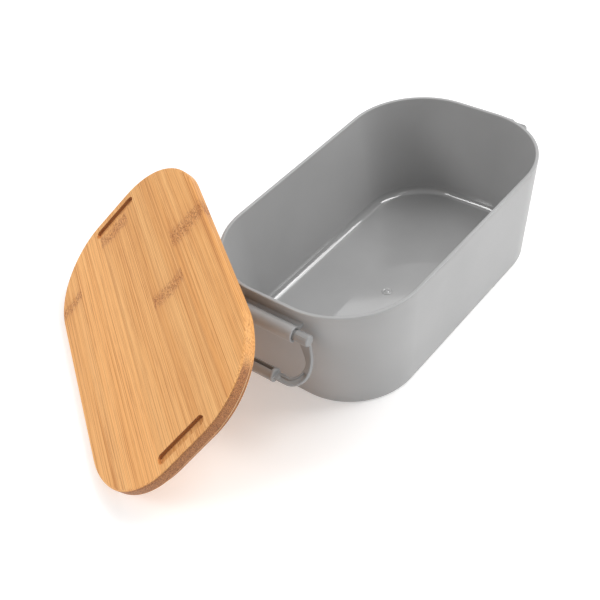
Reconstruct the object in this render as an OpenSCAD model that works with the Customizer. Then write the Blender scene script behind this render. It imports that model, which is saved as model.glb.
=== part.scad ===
// Bento lunch box: a moulded tub with rounded ends, a glued bamboo lid and a swinging latch on
// each end. The lid is off and leans on the tub's corner, standing on one long edge.
// +X runs along the tub, +Z is up, and the origin is the middle of the tub's base.

/* [Tub] */
// Length of the tub over the rim
tub_len = 190; // [160:1:230]
// Width of the tub over the rim
tub_w = 112; // [100:1:140]
// Height of the tub
tub_h = 65; // [60:1:80]
// Radius of the rim's corners, seen from above
corner_r = 43.5; // [36:0.5:46]
// How far the wall leans in from the rim down to the base
lean_in = 6.5; // [3:0.1:9]
// Thickness of the walls and the floor
wall = 1.9; // [1.6:0.1:2.6]
// Radius where the floor meets the walls, inside
floor_r = 3.6; // [2.5:0.1:6]
// Radius of the base's outer edge
base_r = 1.6; // [1:0.1:3]
// Rounding of the rim's two edges
rim_r = 0.6; // [0.3:0.1:0.9]

/* [Latches] */
// Distance from the tub's ends, at the rim, out to each hinge axis
hinge_out = 5; // [4.8:0.1:6]
// Distance from the rim down to the hinge axes
hinge_drop = 9.6; // [9:0.1:14]
// Radius of the hinge bar
bar_r = 2.7; // [2.3:0.1:2.8]
// Running gap between the hinge bar and its hook
bar_gap = 0.05; // [0.03:0.01:0.1]
// Outer radius of the tub's hinge hook
hook_r = 4.2; // [4:0.1:4.6]
// Length of the hinge hook
hook_len = 36.4; // [28:0.2:36.6]
// Length of the hinge bar over both knuckles
bar_len = 53.8; // [53.2:0.2:54.6]
// Distance from the hinge axis to the grip bar's axis
latch_reach = 22; // [21:0.1:23]
// Radius of the grip bar
grip_r = 3.6; // [3.2:0.1:3.8]
// Length of the grip bar
grip_len = 31; // [26:0.5:31.5]
// Thickness of the latch's side arms
arm_t = 3; // [2.4:0.1:3.4]
// How far the side arms bow out of the latch's plane
arm_bow = 6; // [5.4:0.1:6.4]
// Angle of the latches from hanging straight down, as drawn
latch_angle = 39; // [0:1:60]

/* [Lid] */
// Length of the lid
lid_len = 190; // [160:1:230]
// Width of the lid
lid_w = 112; // [100:1:140]
// Thickness of the lid's edge
board_t = 6; // [5:0.5:8]
// Depth of the plug under the lid
plug_t = 3.8; // [3.6:0.1:5]
// How far the plug is set in from the lid's edge
plug_in = 3.3; // [3:0.1:4]
// Rounding of the lid's top edge
lid_edge_r = 1.5; // [0.8:0.1:2]
// Bevel on the lower edges of the lid's board and plug
edge_cut = 0.6; // [0.3:0.1:1]
// Width of the bamboo strips
strip_w = 23; // [22.5:0.1:24]
// Distance from the lid's middle line to the glue joint on its leaning side
strip_shift = 8.5; // [8:0.1:9]
// Distance from the lid's end to the middle of each latch groove
groove_in = 7.8; // [7:0.1:9]
// Width of the latch grooves
groove_w = 5.5; // [5:0.1:6]
// Length of the latch grooves, round ends included
groove_len = 32; // [31.6:0.1:34]
// Depth of the latch grooves
groove_t = 2.4; // [1.6:0.1:3]
// Height of the gasket
gasket_h = 1.8; // [1.6:0.1:2]
// How far the gasket stands out of the plug
gasket_out = 0.9; // [0.5:0.1:1]
// How deep the gasket sits in the plug
gasket_seat = 1.5; // [1:0.1:2]

/* [Leaning lid] */
// Turn of the lid's length from the tub's length
lean_turn = 55.1; // [45:0.1:60]
// Tilt of the lid from level
lean_tilt = 40.3; // [38:0.1:50]
// Middle of the lid's top face, along the tub
lean_x = -120.3; // [-132:0.1:-119]
// Middle of the lid's top face, across the tub
lean_y = 65.7; // [65:0.1:76]

/* [Hidden] */
$fn = 96;
strip_count = 5;
eps = 0.01;
tub_grey = [0.55, 0.55, 0.56];
latch_grey = [0.5, 0.5, 0.51];
bamboo = [0.87, 0.66, 0.4];
silicone = [0.86, 0.85, 0.82];

// The tub's corners turn round four upright axes at these distances from the middle
axis_x = tub_len / 2 - corner_r;
axis_y = tub_w / 2 - corner_r;
lean_tan = lean_in / tub_h;
lean_angle = atan(lean_tan);
base_corner_r = corner_r - lean_in;
hinge_x = tub_len / 2 + hinge_out;
hinge_z = tub_h - hinge_drop;

lid_axis_x = lid_len / 2 - corner_r;
lid_axis_y = lid_w / 2 - corner_r;

// Top of the gasket, measured down from the face that sits on the rim
gasket_top = -0.8;
// Middle of the gasket's rounded nose, measured out across the lid
gasket_nose = lid_w / 2 - plug_in + gasket_out - gasket_h / 2;
// Drop from the middle of the leaning lid's top face to a point far out across it and deep below it
function drop(far, deep) = far * sin(lean_tilt) + deep * cos(lean_tilt);
// Height of that middle when the lid stands on the lowest of its board, its plug and its gasket
lean_z = max(
    drop(lid_w / 2, board_t - edge_cut),
    drop(lid_w / 2 - edge_cut, board_t),
    drop(lid_w / 2 - plug_in, board_t + plug_t - edge_cut),
    drop(lid_w / 2 - plug_in - edge_cut, board_t + plug_t),
    drop(gasket_nose, board_t - gasket_top + gasket_h / 2) + gasket_h / 2
);

// A round of radius r between a level line at height z and the leaning wall that starts at
// radius foot: its centre, and the points where it meets the level line and the wall
function round_x(foot, z, r) = foot + (z + r) * lean_tan - r / cos(lean_angle);
function wall_touch(foot, z, r) = [
    round_x(foot, z, r) + r * cos(lean_angle),
    z + r - r * sin(lean_angle)
];

// A leaning solid's half section: x is the distance from the corner axis
module leaning_section(foot, low, high, r) {
    touch = wall_touch(foot, low, r);
    polygon([
        [0, low],
        [round_x(foot, low, r), low],
        touch,
        [foot + high * lean_tan, high],
        [0, high]
    ]);
    translate([round_x(foot, low, r), low + r])
        circle(r);
}

module tub_section() {
    rim = base_corner_r + tub_h * lean_tan;
    difference() {
        union() {
            leaning_section(base_corner_r, 0, tub_h - rim_r, base_r);
            translate([0, tub_h - rim_r - eps])
                square([rim - rim_r, rim_r + eps]);
            translate([rim - rim_r, tub_h - rim_r])
                circle(rim_r);
        }
        leaning_section(base_corner_r - wall / cos(lean_angle), wall, tub_h + 1, floor_r);
    }
}

// Carries a section round the tub's plan: four quarter turns and four straight runs
module around(ax, ay) {
    for (side = [0, 1])
        mirror([side, 0, 0]) {
            for (end = [0, 1])
                mirror([0, end, 0])
                    translate([ax, ay, 0])
                        rotate_extrude(angle = 90)
                            children();
            translate([ax, ay, 0])
                rotate([90, 0, 0])
                    linear_extrude(2 * ay)
                        children();
        }
    for (side = [0, 1])
        mirror([0, side, 0])
            translate([-ax, ay, 0])
                rotate([90, 0, 90])
                    linear_extrude(2 * ax)
                        children();
}

// The hinge hook's section, seen along the hinge axis: x points away from the tub
module hook_section() {
    mouth_low = -70;
    mouth_high = -185;
    web_top = 2.4;
    web_low = 0.2;
    root = 0.1 - wall - hinge_out;
    reach = 3 * hook_r;
    difference() {
        union() {
            circle(hook_r);
            translate([root, web_low])
                square([-root, web_top - web_low]);
        }
        circle(bar_r + bar_gap);
        polygon([
            [0, 0],
            [reach * cos(mouth_low), reach * sin(mouth_low)],
            [-reach, -reach],
            [reach * cos(mouth_high), reach * sin(mouth_high)]
        ]);
    }
}

module hook() {
    flare_r = 3.3;
    flare_len = 0.8;
    difference() {
        translate([hinge_x, hook_len / 2, hinge_z])
            rotate([90, 0, 0])
                linear_extrude(hook_len)
                    hook_section();
        for (end = [-1, 1])
            translate([hinge_x, end * (hook_len / 2 - flare_len / 2 + eps), hinge_z])
                rotate([90, 0, 0])
                    cylinder(r = flare_r, h = flare_len, center = true);
    }
}

module tub() {
    color(tub_grey) {
        around(axis_x, axis_y)
            tub_section();
        translate([-axis_x, -axis_y, 0])
            cube([2 * axis_x, 2 * axis_y, wall]);
        for (end = [0, 1])
            mirror([end, 0, 0])
                hook();
    }
}

// A smooth curve through points: Catmull-Rom, with n steps between neighbours
function blend(a, b, c, d, t) =
    0.5 * (2 * b + (c - a) * t + (2 * a - 5 * b + 4 * c - d) * t * t + (3 * b - a - 3 * c + d) * t * t * t);
function smooth(p, n) = [
    for (i = [0 : len(p) - 2], k = [0 : n - 1])
        blend(p[max(i - 1, 0)], p[i], p[i + 1], p[min(i + 2, len(p) - 1)], k / n),
    p[len(p) - 1]
];

// The latch lies flat here: x runs from the hinge axis to the grip bar, y along the axes
module arm_outline() {
    outer = [
        [-1, 26.5], [1.5, 26.8], [5, 27.3], [9.5, 28.5], [13.5, 29.4],
        [18, 29.7], [21.5, 28.4], [23.3, 25.4], [23.6, 21], [23.5, 15]
    ];
    inner = [
        [20.5, 15], [20.5, 20], [19.6, 23.4], [16.5, 25.4], [12.5, 26],
        [10, 24.8], [7.5, 22.6], [5, 20.2], [3.4, 19], [0, 18.8]
    ];
    polygon(concat(smooth(outer, 4), smooth(inner, 4)));
}

// The rib-edged pocket on the inner face of each arm's lower half
module pocket_outline() {
    outer = [[14, 28.4], [17.8, 28.6], [20.6, 27.4], [22.3, 24.9], [22.7, 20.5]];
    inner = [[21.5, 20.5], [20.9, 24.2], [18.6, 26.2], [14, 27.2]];
    polygon(concat(smooth(outer, 4), smooth(inner, 4)));
}

// Side view of the arms: a shallow arch of even thickness
module arch(t) {
    span = 22.8;
    r = (pow(span / 2, 2) + pow(arm_bow, 2)) / (2 * arm_bow);
    translate([span / 2, arm_bow - r])
        difference() {
            circle(r + t / 2);
            circle(r - t / 2);
        }
}

module arched(t, width) {
    translate([0, width / 2, 0])
        rotate([90, 0, 0])
            linear_extrude(width)
                arch(t);
}

// Extrudes from just under the latch's plane up to the given height
module upright(height) {
    translate([0, 0, -arm_t])
        linear_extrude(height + arm_t)
            children();
}

module latch() {
    width = 80;
    collar_len = 1.6;
    slot_w = 2.2;
    slot_t = 2.6;
    slot_turn = 144;
    pocket_t = 1.1;
    rotate([90, 0, 0])
        cylinder(r = bar_r, h = bar_len, center = true);
    for (side = [0, 1])
        mirror([0, side, 0])
            difference() {
                intersection() {
                    arched(arm_t, width);
                    upright(arm_bow + arm_t)
                        arm_outline();
                }
                intersection() {
                    translate([0, 0, -(arm_t - pocket_t)])
                        arched(arm_t, width);
                    upright(arm_bow + arm_t)
                        pocket_outline();
                }
            }
    translate([latch_reach, 0, 0]) {
        difference() {
            rotate([90, 0, 0])
                cylinder(r = grip_r, h = grip_len, center = true);
            rotate([0, slot_turn, 0])
                translate([grip_r - slot_t, -grip_len / 2 + collar_len, -slot_w / 2])
                    cube([slot_t + 1, grip_len - 2 * collar_len, slot_w]);
        }
    }
}

module placed_latch() {
    color(latch_grey)
        translate([-hinge_x, 0, hinge_z])
            rotate([0, 90 + latch_angle, 0])
                latch();
}

module left_latch() {
    placed_latch();
}

module right_latch() {
    rotate([0, 0, 180])
        placed_latch();
}

// The lid lies closed here: z = 0 is the face that sits on the rim. Its half sections, like the
// tub's, have x as the distance from the corner axis
module lid_section() {
    plug = corner_r - plug_in;
    flat = corner_r - lid_edge_r;
    difference() {
        union() {
            polygon([
                [0, -plug_t],
                [plug - edge_cut, -plug_t],
                [plug, edge_cut - plug_t],
                [plug, 0],
                [corner_r - edge_cut, 0],
                [corner_r, edge_cut],
                [corner_r, board_t - lid_edge_r],
                [flat, board_t - lid_edge_r],
                [flat, board_t],
                [0, board_t]
            ]);
            translate([flat, board_t - lid_edge_r])
                circle(lid_edge_r);
        }
        translate([plug - gasket_seat, gasket_top - gasket_h])
            square([gasket_seat + 1, gasket_h]);
    }
}

module gasket_section() {
    nose = corner_r - plug_in + gasket_out - gasket_h / 2;
    seat = corner_r - plug_in - gasket_seat;
    translate([seat, gasket_top - gasket_h])
        square([nose - seat, gasket_h]);
    translate([nose, gasket_top - gasket_h / 2])
        circle(gasket_h / 2);
}

module groove() {
    straight = groove_len - groove_w;
    translate([lid_len / 2 - groove_in, 0, board_t - groove_t]) {
        for (end = [-1, 1])
            translate([0, end * straight / 2, 0])
                cylinder(d = groove_w, h = groove_t + 1);
        translate([-groove_w / 2, -straight / 2, 0])
            cube([groove_w, straight, groove_t + 1]);
    }
}

module lid_blank() {
    difference() {
        union() {
            around(lid_axis_x, lid_axis_y)
                lid_section();
            translate([-lid_axis_x, -lid_axis_y, -plug_t])
                cube([2 * lid_axis_x, 2 * lid_axis_y, board_t + plug_t]);
        }
        for (end = [0, 1])
            mirror([end, 0, 0])
                groove();
    }
}

module leaning() {
    translate([lean_x, lean_y, lean_z])
        rotate([0, 0, lean_turn])
            rotate([-lean_tilt, 0, 0])
                translate([0, 0, -board_t])
                    children();
}

// Strip i lies between edge i and edge i + 1, counted from the side that leans on the tub
joint_strip = 2;
function strip_edge(i) =
    i == 0 ? -lid_w :
    i == strip_count ? lid_w :
    -strip_shift + (i - joint_strip) * strip_w;

module lid_strip(i) {
    low = strip_edge(i);
    high = strip_edge(i + 1);
    color(bamboo)
        leaning()
            intersection() {
                lid_blank();
                translate([-lid_len, low, -plug_t - 1])
                    cube([2 * lid_len, high - low, board_t + plug_t + 2]);
            }
}

module lid_gasket() {
    color(silicone)
        leaning()
            around(lid_axis_x, lid_axis_y)
                gasket_section();
}

tub();
left_latch();
right_latch();
lid_strip(0);  // lid_strip_1
lid_strip(1);  // lid_strip_2
lid_strip(2);  // lid_strip_3
lid_strip(3);  // lid_strip_4
lid_strip(4);  // lid_strip_5
lid_gasket();
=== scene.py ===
"""The bento lunch box's looks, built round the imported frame.

The tub, its gate mark and hinge hooks, both latches, the five bamboo strips and the gasket are each
made here as their own mesh, at the places that the frame gives. Sizes are in millimetres, and MM
turns them into Blender's metres. Angles are in degrees.
"""

import math

import bmesh
import bpy
from mathutils import Matrix, Vector


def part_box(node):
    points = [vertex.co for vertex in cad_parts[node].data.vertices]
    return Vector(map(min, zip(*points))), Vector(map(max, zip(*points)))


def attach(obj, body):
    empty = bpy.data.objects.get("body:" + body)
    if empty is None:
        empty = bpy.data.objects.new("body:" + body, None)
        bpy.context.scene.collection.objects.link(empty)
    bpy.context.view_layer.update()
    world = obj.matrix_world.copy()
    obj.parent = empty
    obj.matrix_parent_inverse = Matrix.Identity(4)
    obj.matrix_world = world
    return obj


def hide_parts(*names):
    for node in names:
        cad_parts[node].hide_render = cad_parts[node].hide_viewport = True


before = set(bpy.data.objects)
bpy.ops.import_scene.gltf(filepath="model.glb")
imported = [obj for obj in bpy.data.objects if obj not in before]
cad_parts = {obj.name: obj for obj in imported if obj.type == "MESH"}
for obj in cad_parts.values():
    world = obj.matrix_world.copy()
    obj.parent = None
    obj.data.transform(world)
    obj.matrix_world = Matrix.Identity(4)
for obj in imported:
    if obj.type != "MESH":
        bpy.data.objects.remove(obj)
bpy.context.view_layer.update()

MM = 0.001

# Camera, as the photographer stood
CAMERA_AZIMUTH = -47.17
CAMERA_ELEVATION = 42.23
CAMERA_ROLL = -7.26
CAMERA_DISTANCE = 581.3
CAMERA_TARGET = (-46.1, 25.9, 13.6)
CAMERA_LENS = 64.3
CAMERA_SENSOR = 36.0
CAMERA_CLIP = (10.0, 50000.0)

# Tub
tub_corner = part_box("tub")[1] / MM
TUB_H = tub_corner.z
TUB_HALF_W = tub_corner.y
TUB_HALF_LEN = 95.0
CORNER_R = 43.5
LEAN = 0.1  # how far the wall leans out for each millimetre up
WALL = 1.9
FLOOR_R = 3.6
BASE_R = 1.6
RIM_R = 0.6
PART_LINE_DROP = 1.5
PART_LINE_HALF_W = 0.25
PART_LINE_T = 0.14
GATE_MARK = (-5.1, -2.4)  # its middle on the floor
# The gate mark's section: distance from its middle, height above the floor
GATE_MARK_SECTION = (
    (1.0, 0.55), (1.5, 0.10), (2.1, 0.10), (2.5, 0.55), (2.9, 0.05), (3.1, -0.3),
)

# Hinges and latches
HINGE_OUT = 100.0
HINGE_Z = 55.4
HOOK_R = 4.2
HOOK_BORE_R = 2.95
HOOK_LEN = 36.4
# Where the hook's lower lip and its bore end, as angles round the hinge axis
HOOK_MOUTH = -70
HOOK_BORE_END = 175
WEB_TOP = 2.4
WEB_LOW = 0.5
WEB_SHORT = 0.15  # from the web's end to the wall's inner face
BAR_R = 2.65
BAR_LEN = 53.8
KNUCKLE_R = 3.0
KNUCKLE_GAP = 0.6  # from the hook's end to a knuckle
LATCH_REACH = 22.0
GRIP_R = 3.4
GRIP_LEN = 31.0
GRIP_IN_COLLAR = 0.8
COLLAR_R = 3.6
COLLAR_LEN = 1.9
SLOT_W = 2.0
SLOT_T = 2.4
SLOT_TURN = 150.0
ARM_T = 2.9
ARM_BOW = 6.0
ARM_SPAN = 22.8
ARM_RIB = 0.24  # width of each rib beside the channel, as a share of the arm's width
CHANNEL_T = 1.0
LATCH_ANGLE = 39.0
# The arm's two edges in the latch's plane: distance from the hinge axis, distance from the middle
ARM_OUTER = (
    (-1, 26.5), (1.5, 26.8), (5, 27.3), (9.5, 28.5), (13.5, 29.4),
    (18, 29.7), (21.5, 28.4), (23.3, 25.4), (23.6, 21), (23.5, 14.5),
)
ARM_INNER = (
    (-1, 19.4), (1.5, 19.4), (5, 20.9), (9.5, 24.4), (12.5, 25.9),
    (16.5, 25.5), (19.4, 23.6), (20.6, 21.4), (20.5, 18.5), (20.5, 14.5),
)
# Where the channel starts and ends, as shares of the way along the arm
CHANNEL_FROM = 0.52
CHANNEL_TO = 0.93

# Lid
LID_LEN = 190.0
LID_W = 112.0
BOARD_T = 6.0
PLUG_T = 3.8
PLUG_IN = 3.3
PLUG_ROOT = 0.15
EDGE_CUT = 0.6
LID_EDGE_R = 1.5
GASKET_TOP = -0.8
GASKET_H = 1.8
GASKET_SEAT = 1.5
GASKET_OUT = 0.35
GASKET_SLACK = 0.05
STRIP_EDGES = (-31.5, -8.5, 14.5, 37.5)
GROOVE_IN = 7.8
GROOVE_W = 5.5
GROOVE_LEN = 32.0
GROOVE_T = 2.4
GROOVE_LIP = 0.35
GROOVE_FLOOR_R = 0.6
# The box round a groove where shade is painted: where each side starts to fade, and where it ends
SKIN_INNER = (11.2, 11)  # from the lid's end
SKIN_OUTER = (4.6, 4.4)  # from the lid's end
SKIN_SIDE = (16.6, 16.8)  # from the lid's middle line
SKIN_TOP = (1.2, 0.25)  # below the board's top
SKIN_LOW = (0.6, 0.4)  # below the groove's floor
LEAN_TURN = 55.1
LEAN_TILT = 40.3
LID_MIDDLE = (-120.3, 65.7)
# For each strip: the grain's seed, its brightness, and its knuckle's place along the lid and width
STRIP_LOOKS = (
    (1.3, 0.985, (28, 12)),
    (4.7, 0.965, (-0.5, 9)),
    (8.2, 0.985, (78.5, 9)),
    (12.9, 1.02, None),
    (17.1, 0.995, (59, 7)),
)

# Stage, in metres
FLOOR_HALF = 6.0
FLOOR_DROP = 0.0002
WORLD_STRENGTH = 0.52
LIGHT_TARGET = (-0.04, 0.03, 0.03)
# Name, direction from the target, distance, width and height, and watts
LIGHTS = (
    ("front_right", (0.54, -0.67, 0.62), 1.3, (0.34, 1.8), 7.0),
    ("front_left", (-0.25, -0.85, 0.46), 1.3, (0.4, 0.5), 0.9),
    ("back_left", (-0.67, 0.50, 0.60), 1.3, (0.6, 0.5), 5.1),
    ("back_right", (0.52, 0.42, 0.95), 1.5, (1.0, 0.7), 2.6),
    ("high_right", (0.545, -0.30, 0.78), 1.3, (0.7, 0.7), 5.2),
)

# Meshes. A loop is the inner row of points on a flat face, as a share of the way to its edge
CORNER_STEPS = 28
ARM_STEPS = 9
BASE_LOOP = 0.9
FLOOR_LOOP = 0.93
PLUG_LOOP = 0.9
FACE_WEIGHT = 100
SHARP_EDGE = 38
SAME_PLANE = 1e-7  # metres
VOXEL = 0.2
SOFTEN_FACTOR = 0.5
SOFTEN_TIMES = 3


# ---------------------------------------------------------------- meshes

def new_piece(name, bm):
    """A new object from a bmesh, smooth shaded."""
    bmesh.ops.recalc_face_normals(bm, faces=bm.faces)
    for face in bm.faces:
        face.smooth = True
    mesh = bpy.data.meshes.new(name)
    bm.to_mesh(mesh)
    bm.free()
    piece = bpy.data.objects.new(name, mesh)
    bpy.context.scene.collection.objects.link(piece)
    return piece


def apply_modifiers(piece):
    """Replaces the piece's mesh with its evaluated one and drops its modifiers."""
    bpy.context.view_layer.update()
    graph = bpy.context.evaluated_depsgraph_get()
    mesh = bpy.data.meshes.new_from_object(piece.evaluated_get(graph))
    old = piece.data
    piece.modifiers.clear()
    piece.data = mesh
    mesh.name = piece.name
    bpy.data.meshes.remove(old)


def flat_faces_first(piece):
    """Keeps big flat faces flat where a small round runs into them."""
    modifier = piece.modifiers.new("normals", "WEIGHTED_NORMAL")
    modifier.weight = FACE_WEIGHT
    modifier.keep_sharp = True


def arc(cx, cz, r, start, end, steps):
    """Points on an arc."""
    turns = (math.radians(start + (end - start) * i / steps) for i in range(steps + 1))
    return [(cx + r * math.cos(t), cz + r * math.sin(t)) for t in turns]


def circle(cx, r):
    """A circle of 36 points, ten degrees apart."""
    return arc(cx, 0, r, 0, 350, steps=35)


def ring(half_len, half_w, x, z):
    """A rounded rectangle round the plan's corner axes, x out from them."""
    points = []
    for corner, (sx, sy) in enumerate(((1, 1), (-1, 1), (-1, -1), (1, -1))):
        for i in range(CORNER_STEPS + 1):
            t = math.radians(90 * (corner + i / CORNER_STEPS))
            cx = sx * (half_len - CORNER_R)
            cy = sy * (half_w - CORNER_R)
            points.append(Vector((cx + x * math.cos(t), cy + x * math.sin(t), z)) * MM)
    return points


def skin(bm, rings, closed=False):
    """Joins rows of points into a tube, which runs into itself or is capped flat at both ends."""
    pairs = list(zip(rings, rings[1:]))
    if closed:
        pairs.append((rings[-1], rings[0]))
    for low, high in pairs:
        for i in range(len(low)):
            j = (i + 1) % len(low)
            bm.faces.new((low[i], low[j], high[j], high[i]))
    if not closed:
        bm.faces.new(rings[0])
        bm.faces.new(rings[-1])


def carried(section, half_len, half_w, closed=False):
    """Carries a section round the plan."""
    bm = bmesh.new()
    rings = []
    for x, z in section:
        rings.append([bm.verts.new(p) for p in ring(half_len, half_w, x, z)])
    skin(bm, rings, closed)
    return bm


def prism(outline, y0, y1, cut):
    """Extrudes an x-z outline along y, with a small bevel all round both ends."""
    bm = bmesh.new()
    middle = Vector((sum(p[0] for p in outline), sum(p[1] for p in outline))) / len(outline)
    rows = []
    for y, inset in ((y0, cut), (y0 + cut, 0.0), (y1 - cut, 0.0), (y1, cut)):
        row = []
        for point in outline:
            flat = Vector(point)
            inward = (middle - flat).normalized() * inset
            row.append(bm.verts.new(Vector((flat.x + inward.x, y, flat.y + inward.y)) * MM))
        rows.append(row)
    skin(bm, rows)
    return bm


def moulded(name, parts):
    """Fuses closed parts into one skin and softens every edge, as a mould does."""
    whole = bmesh.new()
    for part in parts:
        mesh = bpy.data.meshes.new("part")
        part.to_mesh(mesh)
        part.free()
        whole.from_mesh(mesh)
        bpy.data.meshes.remove(mesh)
    piece = new_piece(name, whole)
    fuse = piece.modifiers.new("fuse", "REMESH")
    fuse.mode = "VOXEL"
    fuse.voxel_size = VOXEL * MM
    fuse.use_smooth_shade = True
    soften = piece.modifiers.new("soften", "SMOOTH")
    soften.factor = SOFTEN_FACTOR
    soften.iterations = SOFTEN_TIMES
    apply_modifiers(piece)
    return piece


# ---------------------------------------------------------------- materials

# Scales of noise are cells per metre, and nearly all its values lie between these two
NOISE_LOW, NOISE_HIGH = 0.3, 0.7

# A colour Mix node's factor and two colours, and its result, are at these places in its lists
MIX_INPUTS = (0, 6, 7)
MIX_OUTPUT = 2


def srgb(r, g, b):
    """A colour from its 0 to 255 screen values."""
    def linear(v):
        v /= 255
        return v / 12.92 if v <= 0.04045 else ((v + 0.055) / 1.055) ** 2.4
    return (linear(r), linear(g), linear(b), 1.0)


class Nodes:
    """A material's node tree, with one short method per kind of node that is used here."""

    def __init__(self, name):
        self.material = bpy.data.materials.new(name)
        self.material.use_nodes = True
        self.tree = self.material.node_tree
        self.shader = self.tree.nodes["Principled BSDF"]

    def node(self, kind):
        return self.tree.nodes.new(kind)

    def put(self, value, socket):
        """Links an output to a socket, or sets the socket to a number or a colour."""
        if isinstance(value, (int, float, tuple)):
            socket.default_value = value
        else:
            self.tree.links.new(value, socket)

    def surface(self, name, value):
        """Gives one of the shader's own sockets its value."""
        self.put(value, self.shader.inputs[name])

    def coordinate(self, name):
        """The piece's own coordinate of that name: Object for the place, Normal for the facing."""
        return self.node("ShaderNodeTexCoord").outputs[name]

    def noise(self, vector, scale, detail=2.0, rough=0.5, warp=0.0):
        node = self.node("ShaderNodeTexNoise")
        node.inputs["Scale"].default_value = scale
        node.inputs["Detail"].default_value = detail
        node.inputs["Roughness"].default_value = rough
        node.inputs["Distortion"].default_value = warp
        self.put(vector, node.inputs["Vector"])
        return node.outputs["Fac"]

    def streaks(self, vector, scales, offset, detail, rough=0.5, warp=0.0):
        """Noise with its own scale along each axis. The offset sets pieces apart."""
        node = self.node("ShaderNodeMapping")
        node.inputs["Scale"].default_value = scales
        node.inputs["Location"].default_value = offset
        self.put(vector, node.inputs["Vector"])
        return self.noise(node.outputs[0], 1.0, detail, rough, warp)

    def math(self, operation, a, b=0.0, c=0.0, clamp=False):
        node = self.node("ShaderNodeMath")
        node.operation = operation
        node.use_clamp = clamp
        for socket, value in zip(node.inputs, (a, b, c)):
            self.put(value, socket)
        return node.outputs[0]

    def times(self, a, b):
        return self.math("MULTIPLY", a, b)

    def spread(self, value, low, high, to_low=0.0, to_high=1.0):
        """Maps the range from low to high onto another one, smoothly and clamped at both ends."""
        node = self.node("ShaderNodeMapRange")
        node.interpolation_type = "SMOOTHSTEP"
        self.put(value, node.inputs["Value"])
        for socket, number in zip(node.inputs[1:5], (low, high, to_low, to_high)):
            socket.default_value = number
        return node.outputs[0]

    def mix(self, factor, a, b, blend="MIX"):
        node = self.node("ShaderNodeMix")
        node.data_type = "RGBA"
        node.blend_type = blend
        for index, value in zip(MIX_INPUTS, (factor, a, b)):
            self.put(value, node.inputs[index])
        return node.outputs[MIX_OUTPUT]

    def lid_frame(self):
        """Places in the lid's own frame, so that the grain follows the board as it leans."""
        node = self.node("ShaderNodeMapping")
        node.vector_type = "TEXTURE"
        node.inputs["Location"].default_value = lid_place().translation
        node.inputs["Rotation"].default_value = lid_place().to_euler("XYZ")
        self.put(self.coordinate("Object"), node.inputs["Vector"])
        return node.outputs[0]

    def along(self, vector, axis):
        """How far a direction points along an axis."""
        node = self.node("ShaderNodeVectorMath")
        node.operation = "DOT_PRODUCT"
        node.inputs[1].default_value = axis
        self.put(vector, node.inputs[0])
        return node.outputs["Value"]

    def axes(self, vector):
        """A vector's x, y and z."""
        node = self.node("ShaderNodeSeparateXYZ")
        self.put(vector, node.inputs[0])
        return node.outputs

    def bump(self, height, distance, strength, under=None):
        """Makes a bump the shader's normal, on top of another one where that is given."""
        node = self.node("ShaderNodeBump")
        node.inputs["Distance"].default_value = distance
        node.inputs["Strength"].default_value = strength
        self.put(height, node.inputs["Height"])
        if under is not None:
            self.put(under, node.inputs["Normal"])
        self.surface("Normal", node.outputs[0])
        return node.outputs[0]


def tub_floor(nodes, place):
    """1 on the tub's floor and 0 a little way up its walls, and everywhere outside."""
    fade_from = (WALL + FLOOR_R * 0.7) * MM
    fade_to = (WALL + FLOOR_R * 1.8) * MM
    low = nodes.spread(nodes.axes(place)[2], fade_from, fade_to, 1.0, 0.0)
    # The drafted walls lean outwards, so only the surfaces inside the tub face upwards
    upward = nodes.spread(nodes.axes(nodes.coordinate("Normal"))[2], -0.02, 0.05)
    return nodes.times(low, upward)


def satin_plastic(name, colour, rough, floor_gloss=None):
    """Moulded polypropylene: faint flow shading, fine grain, and a glossier floor if asked."""
    rough_by = 0.03
    nodes = Nodes(name)
    place = nodes.coordinate("Object")
    flow = nodes.noise(place, 22.0, detail=3.0)
    grain = nodes.noise(place, 2600.0, detail=1.0)
    waves = nodes.noise(place, 60.0, detail=1.0)
    shade = nodes.spread(flow, NOISE_LOW, NOISE_HIGH, 0.965, 1.035)
    roughness = nodes.spread(grain, NOISE_LOW, NOISE_HIGH, rough - rough_by, rough + rough_by)
    if floor_gloss is not None:
        floor = tub_floor(nodes, place)
        drop = nodes.times(floor, rough - floor_gloss)
        roughness = nodes.math("SUBTRACT", roughness, drop, clamp=True)
        nodes.surface("Coat Weight", floor)
        nodes.surface("Coat IOR", 1.8)
        nodes.surface("Coat Roughness", 0.05)
    nodes.surface("Base Color", nodes.mix(1.0, colour, shade, "MULTIPLY"))
    nodes.surface("Roughness", roughness)
    nodes.surface("Specular IOR Level", 0.5)
    soft = nodes.bump(waves, 0.12 * MM, strength=0.5)
    nodes.bump(grain, 0.01 * MM, strength=0.35, under=soft)
    return nodes.material


def silicone(name):
    """Milky silicone rubber, slightly brown."""
    nodes = Nodes(name)
    place = nodes.coordinate("Object")
    cloud = nodes.noise(place, 90.0)
    nodes.surface("Base Color", nodes.mix(cloud, srgb(176, 162, 142), srgb(158, 144, 124)))
    nodes.surface("Roughness", nodes.spread(cloud, NOISE_LOW, NOISE_HIGH, 0.42, 0.55))
    nodes.surface("Subsurface Weight", 0.15)
    nodes.surface("Subsurface Scale", 1.0 * MM)
    nodes.bump(nodes.noise(place, 1800.0), 0.01 * MM, strength=0.4)
    return nodes.material


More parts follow.
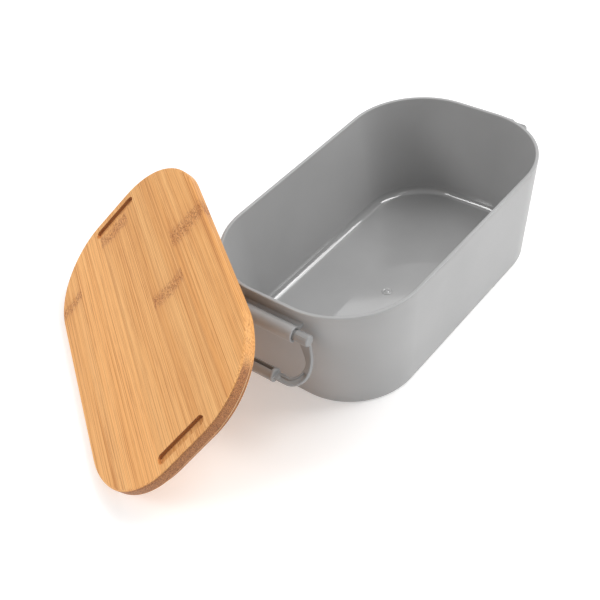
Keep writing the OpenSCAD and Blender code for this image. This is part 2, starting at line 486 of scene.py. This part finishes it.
def cane(nodes, place, seed, tone, fibres):
    """The colour of the cane's length: broad bands, fibres, short dashes and fine threads."""
    bands = nodes.streaks(place, (3, 240, 240), (0, seed, 0), 3.0, 0.6)
    dashes = nodes.streaks(place, (45, 2600, 2600), (0, 0, seed), 2.0, 0.7)
    threads = nodes.streaks(place, (5, 2100, 2100), (seed, 0, seed), 1.0)
    light, middle, dark = (
        srgb(*(c * tone for c in screen))
        for screen in ((241, 181, 113), (230, 164, 94), (180, 110, 50))
    )
    colour = nodes.mix(nodes.spread(bands, NOISE_LOW, NOISE_HIGH), light, middle)
    colour = nodes.mix(nodes.spread(fibres, 0.50, 0.62, 0.0, 0.60), colour, dark)
    dark_dashes = nodes.spread(dashes, 0.56, 0.70, 0.0, 0.50)
    colour = nodes.mix(dark_dashes, colour, srgb(182, 112, 54))
    dark_threads = nodes.spread(threads, 0.57, 0.61, 0.0, 0.34)
    colour = nodes.mix(dark_threads, colour, srgb(176, 106, 50))
    light_threads = nodes.spread(threads, 0.37, 0.42, 0.34, 0.0)
    return nodes.mix(light_threads, colour, srgb(255, 206, 140))


def knuckle_band(nodes, place, seed, knuckle, colour):
    """The ragged band where a knuckle of the cane was. Returns the colour and the torn marks."""
    middle_x, width = knuckle
    wander_by = 9.0
    wander = nodes.streaks(place, (9, 60, 60), (seed, 0, 0), 1.0)
    jagged = nodes.streaks(place, (30, 1250, 1250), (0, seed, seed), 3.0, 0.7)
    torn = nodes.streaks(place, (620, 1500, 1500), (seed, 0, 0), 3.0, 0.75, warp=1.0)

    shift = nodes.math(
        "MULTIPLY_ADD", wander, wander_by * MM, -(middle_x + wander_by / 2) * MM)
    shift = nodes.math("ADD", shift, -wander_by / 2 * MM)
    shift = nodes.math("MULTIPLY_ADD", jagged, wander_by * MM, shift)
    away = nodes.math("ABSOLUTE", nodes.math("ADD", nodes.axes(place)[0], shift))
    inside = nodes.spread(away, width * 0.18 * MM, width * 0.72 * MM, 1.0, 0.0)
    halo = nodes.spread(away, width * 0.4 * MM, width * 1.9 * MM, 0.18, 0.0)
    marks = nodes.times(inside, nodes.spread(torn, 0.48, 0.56))
    colour = nodes.mix(halo, colour, srgb(198, 132, 72))
    colour = nodes.mix(nodes.times(inside, 0.22), colour, srgb(208, 142, 82))
    return nodes.mix(nodes.times(marks, 0.80), colour, srgb(152, 84, 34)), marks


def end_grain(nodes, place, pores):
    """The colour of the cut ends: speckled, with a painted highlight along the board's lower edge.
    """
    z = nodes.axes(place)[2]
    end = nodes.mix(nodes.spread(pores, 0.42, 0.60), srgb(184, 122, 74), srgb(98, 56, 32))
    # Painted highlight: a pale band along the ends' lower arris, as if lit from below
    painted_highlight_band = nodes.spread(z, 0.25 * MM, 0.85 * MM, 1.0, 0.0)
    over_plug = nodes.spread(z, -0.25 * MM, 0.0)
    pale = nodes.times(nodes.times(painted_highlight_band, over_plug), 0.8)
    return nodes.mix(pale, end, srgb(248, 206, 158))


def groove_shade_mask(nodes, place):
    """1 on the floor and walls of the latch grooves, where shade is painted, 0 elsewhere."""
    half_len = LID_LEN / 2
    floor_z = BOARD_T - GROOVE_T
    x, y, z = nodes.axes(place)
    along_x = nodes.math("ABSOLUTE", x)
    along_y = nodes.math("ABSOLUTE", y)
    near_end = nodes.spread(along_x, *((half_len - v) * MM for v in SKIN_INNER))
    near_middle = nodes.spread(along_y, *(v * MM for v in SKIN_SIDE), 1.0, 0.0)
    below_top = nodes.spread(z, *((BOARD_T - v) * MM for v in SKIN_TOP), 1.0, 0.0)
    above_plug = nodes.spread(z, *((floor_z - v) * MM for v in SKIN_LOW))
    off_edge = nodes.spread(along_x, *((half_len - v) * MM for v in SKIN_OUTER), 1.0, 0.0)
    mask = nodes.times(nodes.times(near_end, near_middle), below_top)
    return nodes.times(nodes.times(mask, above_plug), off_edge)


def bamboo(name, seed, tone, knuckle):
    """Carbonised bamboo: long fibres, a ragged knuckle across them, and speckled end grain."""
    nodes = Nodes(name)
    place = nodes.lid_frame()
    fibres = nodes.streaks(place, (9, 1500, 1500), (seed, seed, 0), 4.0, 0.75)
    pores = nodes.streaks(place, (700, 3000, 3000), (seed, 0, 0), 2.0, 0.6)
    facing = nodes.along(nodes.coordinate("Normal"), lid_place().col[0].xyz)
    is_end = nodes.spread(nodes.math("ABSOLUTE", facing), 0.55, 0.72)

    colour = cane(nodes, place, seed, tone, fibres)
    relief = nodes.times(fibres, 0.6)
    if knuckle is not None:
        colour, marks = knuckle_band(nodes, place, seed, knuckle, colour)
        relief = nodes.math("ADD", relief, nodes.times(marks, -1.1))
    colour = nodes.mix(nodes.times(is_end, 0.92), colour, end_grain(nodes, place, pores))
    # Painted shade: the grooves' floors and walls are darkened a little, as if in their own shadow
    groove = nodes.times(groove_shade_mask(nodes, place), 0.12)
    colour = nodes.mix(groove, colour, srgb(168, 104, 58))

    nodes.surface("Base Color", colour)
    nodes.surface("Roughness", nodes.spread(fibres, NOISE_LOW, NOISE_HIGH, 0.46, 0.60))
    nodes.surface("Specular IOR Level", 0.4)
    coarse = nodes.bump(relief, 0.16 * MM, strength=0.5)
    nodes.bump(nodes.times(pores, is_end), 0.15 * MM, strength=0.5, under=coarse)
    return nodes.material


# ---------------------------------------------------------------- tub

def wall_x(foot, z):
    """Distance from the corner axis to a leaning wall whose foot is at that radius."""
    return foot + z * LEAN


def tub_section():
    """Half of the tub's section, from the middle of the base round the rim to the floor."""
    angle = math.atan(LEAN)
    degrees = math.degrees(angle)
    foot = CORNER_R - LEAN * TUB_H
    inner = foot - WALL / math.cos(angle)
    base_x = wall_x(foot, BASE_R) - BASE_R / math.cos(angle)
    points = [(base_x * BASE_LOOP, 0.0)]
    points += arc(base_x, BASE_R, BASE_R, -90, -degrees, steps=8)
    line = TUB_H - PART_LINE_DROP
    line_low, line_high = line - PART_LINE_HALF_W, line + PART_LINE_HALF_W
    points.append((wall_x(foot, line_low), line_low))
    points.append((wall_x(foot, line) - PART_LINE_T, line))
    points.append((wall_x(foot, line_high), line_high))
    top = TUB_H - RIM_R
    points += arc(wall_x(foot, top) - RIM_R, top, RIM_R, 0, 90, steps=7)
    points += arc(wall_x(inner, top) + RIM_R, top, RIM_R, 90, 180, steps=7)
    floor_z = WALL + FLOOR_R
    floor_x = wall_x(inner, floor_z) - FLOOR_R / math.cos(angle)
    points += arc(floor_x, floor_z, FLOOR_R, -degrees, -90, steps=14)
    points.append((floor_x * FLOOR_LOOP, WALL))
    return points


def make_tub(material):
    """The tub's shell, walls, rim and floor in one skin."""
    tub = new_piece("tub_shell", carried(tub_section(), TUB_HALF_LEN, TUB_HALF_W))
    tub.data.materials.append(material)
    flat_faces_first(tub)
    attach(tub, "tub")
    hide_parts("tub")


def make_gate_mark(material):
    """The round mark that the mould's gate leaves near the middle of the floor."""
    steps = 40
    bm = bmesh.new()
    rows = []
    for r, rise in GATE_MARK_SECTION:
        row = []
        for i in range(steps):
            t = 2 * math.pi * i / steps
            x = GATE_MARK[0] + r * math.cos(t)
            y = GATE_MARK[1] + r * math.sin(t)
            row.append(bm.verts.new(Vector((x, y, WALL + rise)) * MM))
        rows.append(row)
    skin(bm, rows)
    mark = new_piece("gate_mark", bm)
    mark.data.materials.append(material)
    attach(mark, "tub")


def hook_outline():
    """The hinge hook's section: x points away from the tub, the origin is on the hinge axis."""
    meets_web = 180 - math.degrees(math.asin(WEB_TOP / HOOK_R))
    root = TUB_HALF_LEN - WALL + WEB_SHORT - HINGE_OUT
    outline = arc(0, 0, HOOK_R, HOOK_MOUTH, meets_web, steps=34)
    outline += [(root, WEB_TOP), (root, WEB_LOW)]
    outline += arc(0, 0, HOOK_BORE_R, HOOK_BORE_END, HOOK_MOUTH, steps=34)
    return outline


def make_hooks(material):
    """The two hinge hooks, which are part of the tub's moulding."""
    half = HOOK_LEN / 2
    axis = Matrix.Translation(Vector((HINGE_OUT, 0, HINGE_Z)) * MM)
    for side, turn in (("left", math.pi), ("right", 0.0)):
        hook = moulded(side + "_hinge_hook", [prism(hook_outline(), -half, half, cut=0.0)])
        hook.data.transform(Matrix.Rotation(turn, 4, "Z") @ axis)
        hook.data.materials.append(material)
        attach(hook, "tub")


# ---------------------------------------------------------------- latches

def smooth_line(points, steps):
    """A Catmull-Rom curve through points."""
    line = []
    last = len(points) - 1
    for i in range(last):
        a, b, c, d = (Vector(points[min(max(k, 0), last)]) for k in (i - 1, i, i + 1, i + 2))
        for k in range(steps):
            t = k / steps
            line.append(0.5 * (2 * b + (c - a) * t + (2 * a - 5 * b + 4 * c - d) * t * t
                               + (3 * b - a - 3 * c + d) * t ** 3))
    line.append(Vector(points[last]))
    return line


def arch_height(s):
    """How far the arms stand off the latch's plane, s from the hinge axis."""
    radius = ((ARM_SPAN / 2) ** 2 + ARM_BOW ** 2) / (2 * ARM_BOW)
    off = min(abs(s - ARM_SPAN / 2), radius)
    return ARM_BOW - radius + math.sqrt(radius * radius - off * off)


def arm_loop(inner, outer, has_channel):
    """Points round the arm's section: across is 0 at the inner line and 1 at the outer one."""
    half = ARM_T / 2
    rib = ARM_RIB
    base = -half + (CHANNEL_T if has_channel else 0.0)
    corner = 0.35 * half
    profile = [
        (0.04, half - 0.65), (0.14, half - 0.25), (0.32, half - 0.03), (0.68, half - 0.03),
        (0.86, half - 0.25), (0.96, half - 0.65), (1.0, corner),
        (1.0, -corner), (0.95, -half + 0.1), (1 - rib * 0.6, -half), (1 - rib, -half),
        (1 - rib - 0.06, base), (rib + 0.06, base), (rib, -half), (rib * 0.6, -half),
        (0.05, -half + 0.1), (0.0, -corner), (0.0, corner),
    ]
    loop = []
    for across, off in profile:
        flat = inner.lerp(outer, across)
        loop.append(Vector((flat.x, flat.y, arch_height(flat.x) + off)) * MM)
    return loop


def make_arm(side):
    """One side arm as a swept loop, with a channel between two ribs along its lower half."""
    outer = smooth_line(ARM_OUTER, ARM_STEPS)
    inner = smooth_line(ARM_INNER, ARM_STEPS)
    bm = bmesh.new()
    rows = []
    for i, (a, b) in enumerate(zip(inner, outer)):
        has_channel = CHANNEL_FROM < i / (len(outer) - 1) < CHANNEL_TO
        rows.append([bm.verts.new((p.x, side * p.y, p.z)) for p in arm_loop(a, b, has_channel)])
    skin(bm, rows)
    return bm


def grip_outline():
    """The grip bar's section: round, with a coring slot on the side that faces the tub."""
    opening = math.degrees(math.asin(SLOT_W / 2 / GRIP_R))
    outline = arc(0, 0, GRIP_R, opening, 360 - opening, steps=44)
    outline += [(GRIP_R - SLOT_T, -SLOT_W / 2), (GRIP_R - SLOT_T, SLOT_W / 2)]
    turn = math.radians(-SLOT_TURN)
    cos, sin = math.cos(turn), math.sin(turn)
    return [(LATCH_REACH + x * cos - z * sin, x * sin + z * cos) for x, z in outline]


def make_latch(name, body, node, turn, material):
    """A latch: hinge bar, knuckles, arms, grip bar and collars, fused and swung to its angle."""
    half_bar = BAR_LEN / 2
    half_grip = GRIP_LEN / 2
    half_slot = half_grip - GRIP_IN_COLLAR
    knuckle = circle(0, KNUCKLE_R)
    knuckle_from = HOOK_LEN / 2 + KNUCKLE_GAP
    collar = circle(LATCH_REACH, COLLAR_R)
    parts = [
        prism(circle(0, BAR_R), -half_bar, half_bar, cut=0.35),
        prism(knuckle, knuckle_from, half_bar, cut=0.5),
        prism(knuckle, -half_bar, -knuckle_from, cut=0.5),
        make_arm(-1),
        make_arm(1),
        prism(grip_outline(), -half_slot, half_slot, cut=0.0),
        prism(collar, -half_grip, -half_grip + COLLAR_LEN, cut=0.4),
        prism(collar, half_grip - COLLAR_LEN, half_grip, cut=0.4),
    ]
    latch = moulded(name, parts)
    swing = Matrix.Rotation(math.radians(90 + LATCH_ANGLE), 4, "Y")
    place = Matrix.Translation(Vector((-HINGE_OUT, 0, HINGE_Z)) * MM)
    latch.data.transform(Matrix.Rotation(turn, 4, "Z") @ place @ swing)
    latch.data.materials.append(material)
    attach(latch, body)
    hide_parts(node)


# ---------------------------------------------------------------- lid

def lid_place():
    """Where the leaning lid is: its own frame has z = 0 on the face that sits on the rim."""
    tilt = math.radians(LEAN_TILT)

    def drop(far, deep):
        return far * math.sin(tilt) + deep * math.cos(tilt)

    half = LID_W / 2
    height = max(
        drop(half, BOARD_T - EDGE_CUT),
        drop(half - EDGE_CUT, BOARD_T),
        drop(half - PLUG_IN, BOARD_T + PLUG_T - EDGE_CUT),
        drop(half - PLUG_IN - EDGE_CUT, BOARD_T + PLUG_T),
    )
    return (
        Matrix.Translation(Vector((*LID_MIDDLE, height)) * MM)
        @ Matrix.Rotation(math.radians(LEAN_TURN), 4, "Z")
        @ Matrix.Rotation(-tilt, 4, "X")
        @ Matrix.Translation(Vector((0, 0, -BOARD_T)) * MM)
    )


def lid_section():
    """Half of the lid's section, from the middle of the plug's face to the middle of the top."""
    plug = CORNER_R - PLUG_IN
    seat = plug - GASKET_SEAT
    low = GASKET_TOP - GASKET_H
    points = [
        (plug * PLUG_LOOP, -PLUG_T), (plug - EDGE_CUT, -PLUG_T), (plug, EDGE_CUT - PLUG_T),
        (plug, low), (seat, low), (seat, GASKET_TOP), (plug, GASKET_TOP),
        (plug, -PLUG_ROOT), (plug + PLUG_ROOT, 0), (CORNER_R - EDGE_CUT, 0),
    ]
    points += arc(CORNER_R - EDGE_CUT, EDGE_CUT, EDGE_CUT, -60, 0, steps=3)
    points += arc(CORNER_R - LID_EDGE_R, BOARD_T - LID_EDGE_R, LID_EDGE_R, 0, 90, steps=9)
    points.append((CORNER_R - 3 * LID_EDGE_R, BOARD_T))
    return points


def groove_cutter(side):
    """The router's cut for a latch's grip bar, with a broken lip and a rounded floor."""
    half = GROOVE_W / 2
    floor_z = BOARD_T - GROOVE_T
    round_x = half - GROOVE_FLOOR_R
    profile = [(round_x, floor_z)]
    profile += arc(round_x, floor_z + GROOVE_FLOOR_R, GROOVE_FLOOR_R, -60, 0, steps=3)
    profile += arc(half + GROOVE_LIP, BOARD_T - GROOVE_LIP, GROOVE_LIP, 180, 90, steps=4)
    # The cutter stands clear above the board
    profile.append((half + GROOVE_LIP + 0.02, BOARD_T + 1))
    middle = Vector((side * (LID_LEN / 2 - GROOVE_IN), 0))
    straight = GROOVE_LEN / 2 - half
    steps = 16
    bm = bmesh.new()
    rings = []
    for r, z in profile:
        row = []
        for end, start in ((1, 0), (-1, 180)):
            for i in range(steps + 1):
                t = math.radians(start + 180 * i / steps)
                x = middle.x + r * math.cos(t)
                y = end * straight + r * math.sin(t)
                row.append(bm.verts.new(Vector((x, y, z)) * MM))
        rings.append(row)
    skin(bm, rings)
    return new_piece("groove_cutter", bm)


def lid_blank():
    """The whole lid before it is split into its glued strips."""
    blank = new_piece("lid_blank", carried(lid_section(), LID_LEN / 2, LID_W / 2))
    cutters = [groove_cutter(side) for side in (-1, 1)]
    for cutter in cutters:
        cut = blank.modifiers.new("cut", "BOOLEAN")
        cut.object = cutter
        cut.operation = "DIFFERENCE"
        cut.solver = "EXACT"
    apply_modifiers(blank)
    for cutter in cutters:
        bpy.data.objects.remove(cutter)
    return blank


def cut_away(bm, y, keep_above):
    """Cuts the mesh along the plane at y, keeps one side and closes it."""
    geometry = list(bm.verts) + list(bm.edges) + list(bm.faces)
    done = bmesh.ops.bisect_plane(
        bm, geom=geometry, dist=SAME_PLANE, plane_co=(0, y * MM, 0), plane_no=(0, 1, 0),
        clear_outer=not keep_above, clear_inner=keep_above,
    )
    edges = [e for e in done["geom_cut"] if isinstance(e, bmesh.types.BMEdge)]
    bmesh.ops.edgeloop_fill(bm, edges=edges)


def make_strips():
    """The five glued strips, each cut from the blank and given its own piece of cane."""
    place = lid_place()
    blank = lid_blank()
    edges = (None, *STRIP_EDGES, None)
    for i, (seed, tone, knuckle) in enumerate(STRIP_LOOKS):
        number = i + 1
        bm = bmesh.new()
        bm.from_mesh(blank.data)
        if edges[i] is not None:
            cut_away(bm, edges[i], True)
        if edges[i + 1] is not None:
            cut_away(bm, edges[i + 1], False)
        strip = new_piece("bamboo_strip_%d" % number, bm)
        strip.data.set_sharp_from_angle(angle=math.radians(SHARP_EDGE))
        strip.data.materials.append(bamboo("bamboo_%d" % number, seed, tone, knuckle))
        flat_faces_first(strip)
        strip.data.transform(place)
        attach(strip, "lid")
        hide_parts("lid_strip_%d" % number)
    bpy.data.objects.remove(blank)


def make_gasket(material):
    """The silicone ring in the plug's side, a hair smaller than its seat."""
    seat = CORNER_R - PLUG_IN - GASKET_SEAT
    nose = CORNER_R - PLUG_IN + GASKET_OUT - GASKET_H / 2
    middle = GASKET_TOP - GASKET_H / 2
    section = [(seat, GASKET_TOP - GASKET_SLACK), (seat, GASKET_TOP - GASKET_H + GASKET_SLACK)]
    section += arc(nose, middle, GASKET_H / 2 - GASKET_SLACK, -90, 90, steps=10)
    gasket = new_piece("gasket", carried(section, LID_LEN / 2, LID_W / 2, closed=True))
    gasket.data.materials.append(material)
    gasket.data.transform(lid_place())
    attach(gasket, "lid")
    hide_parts("lid_gasket")


# ---------------------------------------------------------------- stage, light and camera

def make_floor():
    """The pale floor, a hair below the tub's base, glowing a little so that it shows white."""
    bm = bmesh.new()
    bmesh.ops.create_grid(bm, x_segments=1, y_segments=1, size=FLOOR_HALF)
    floor = new_piece("floor", bm)
    floor.location.z = -FLOOR_DROP
    nodes = Nodes("floor")
    tint = nodes.noise(nodes.coordinate("Object"), 3.0)
    nodes.surface("Base Color", nodes.mix(tint, (0.80, 0.80, 0.80, 1), (0.83, 0.83, 0.83, 1)))
    nodes.surface("Roughness", 0.9)
    nodes.surface("Specular IOR Level", 0.1)
    nodes.surface("Emission Color", (1, 1, 1, 1))
    nodes.surface("Emission Strength", 0.3)
    floor.data.materials.append(nodes.material)


def add_light(name, toward, distance, size, watts):
    """A soft box in a direction from the target, turned to face it."""
    target = Vector(LIGHT_TARGET)
    place = target + Vector(toward).normalized() * distance
    data = bpy.data.lights.new(name, "AREA")
    data.shape = "RECTANGLE"
    data.size, data.size_y = size
    data.energy = watts
    light = bpy.data.objects.new(name, data)
    light.location = place
    light.rotation_mode = "QUATERNION"
    light.rotation_quaternion = (target - place).to_track_quat("-Z", "Y")
    bpy.context.scene.collection.objects.link(light)


def make_light():
    """White surroundings and five soft boxes."""
    world = bpy.data.worlds.new("studio")
    world.use_nodes = True
    background = world.node_tree.nodes["Background"]
    background.inputs["Color"].default_value = (1, 1, 1, 1)
    background.inputs["Strength"].default_value = WORLD_STRENGTH
    bpy.context.scene.world = world
    for light in LIGHTS:
        add_light(*light)
    bpy.context.scene.view_settings.view_transform = "Standard"


def make_camera():
    """The camera, aimed at its target from the photograph's angle and then rolled."""
    data = bpy.data.cameras.new("camera")
    data.sensor_width = CAMERA_SENSOR
    data.lens = CAMERA_LENS
    data.clip_start, data.clip_end = (distance * MM for distance in CAMERA_CLIP)
    camera = bpy.data.objects.new("camera", data)
    azimuth = math.radians(CAMERA_AZIMUTH)
    elevation = math.radians(CAMERA_ELEVATION)
    back = Vector((
        math.sin(azimuth) * math.cos(elevation),
        -math.cos(azimuth) * math.cos(elevation),
        math.sin(elevation),
    ))
    camera.location = (Vector(CAMERA_TARGET) + back * CAMERA_DISTANCE) * MM
    aim = (-back).to_track_quat("-Z", "Y").to_matrix().to_4x4()
    roll = Matrix.Rotation(math.radians(CAMERA_ROLL), 4, "Z")
    camera.rotation_mode = "QUATERNION"
    camera.rotation_quaternion = (aim @ roll).to_quaternion()
    bpy.context.scene.collection.objects.link(camera)
    bpy.context.scene.camera = camera


# ---------------------------------------------------------------- the scene

TUB_GREY = srgb(163, 163, 163)
LATCH_GREY = srgb(144, 144, 144)

make_camera()
make_light()
make_floor()
tub_plastic = satin_plastic("tub_plastic", TUB_GREY, 0.42, floor_gloss=0.09)
latch_plastic = satin_plastic("latch_plastic", LATCH_GREY, 0.38)
make_tub(tub_plastic)
make_gate_mark(tub_plastic)
make_hooks(tub_plastic)
make_latch("left_loop_latch", "left_latch", "left_latch", 0.0, latch_plastic)
make_latch("right_loop_latch", "right_latch", "right_latch", math.pi, latch_plastic)
make_strips()
make_gasket(silicone("silicone"))
